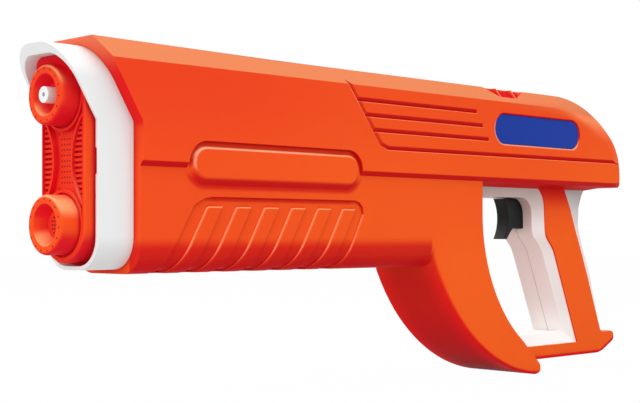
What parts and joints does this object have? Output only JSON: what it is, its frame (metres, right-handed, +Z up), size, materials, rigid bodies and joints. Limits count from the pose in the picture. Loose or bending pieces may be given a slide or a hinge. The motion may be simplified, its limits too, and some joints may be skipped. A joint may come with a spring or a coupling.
{
  "type": "water squirter",
  "caption": "Hand-held trigger-pump water squirter: long boxy body with a leaning collar and stacked nozzles, side pad and ribs, rear grip loop and an inner tank.",
  "frame": {"origin": "middle of the overall box, on the level of the fin's lowest point", "axes": "+Z up, the nozzles point to -X, the left side faces -Y"},
  "size_m": [0.4372, 0.054, 0.173],
  "materials": {
    "orange_plastic": "moulded satin",
    "white_plastic": "moulded satin",
    "black_plastic": "satin",
    "blue_badge": "gloss",
    "natural_plastic": "natural",
    "clear_hose": "milky",
    "spring_steel": "bright",
    "seal_rubber": "matte"
  },
  "bodies": {
    "body": {"left_shell": "orange_plastic", "right_shell": "orange_plastic", "front_collar": "white_plastic", "nozzle_plate": "orange_plastic", "jet_nozzle": "white_plastic", "left_grip": "white_plastic", "right_grip": "white_plastic", "pump_cylinder": "natural_plastic", "cylinder_cap": "natural_plastic", "trigger_spring": "spring_steel", "valve_block": "natural_plastic", "inlet_fitting": "natural_plastic", "valve_cap": "natural_plastic", "suction_hose": "clear_hose", "delivery_hose": "clear_hose", "water_tank": "natural_plastic", "tank_outlet": "natural_plastic", "strainer": "white_plastic", "left_badge": "blue_badge", "right_badge": "blue_badge", "shell_screws": "spring_steel"},
    "trigger_set": {"trigger": "black_plastic", "plunger": "natural_plastic", "piston_seal": "seal_rubber"},
    "stopper": {"filler_stopper": "white_plastic", "stopper_seal": "seal_rubber"},
    "inlet_check": {"inlet_ball": "spring_steel"},
    "outlet_check": {"outlet_ball": "spring_steel"}
  },
  "joints": [
    {"name": "trigger_pull", "type": "slide", "parent": "body", "child": "trigger_set", "axis": [1, 0, 0], "range_m": [0, 0.009], "stiffness_N_per_m": 500, "springref_m": -0.006, "deforming": ["trigger_spring"]},
    {"name": "stopper_pull", "type": "slide", "parent": "body", "child": "stopper", "axis": [0, 0, 1], "range_m": [0, 0.03]},
    {"name": "inlet_lift", "type": "slide", "parent": "body", "child": "inlet_check", "axis": [1, 0, 0], "range_m": [0, 0.0015]},
    {"name": "outlet_lift", "type": "slide", "parent": "body", "child": "outlet_check", "axis": [0, 0, 1], "range_m": [0, 0.0015]}
  ]
}
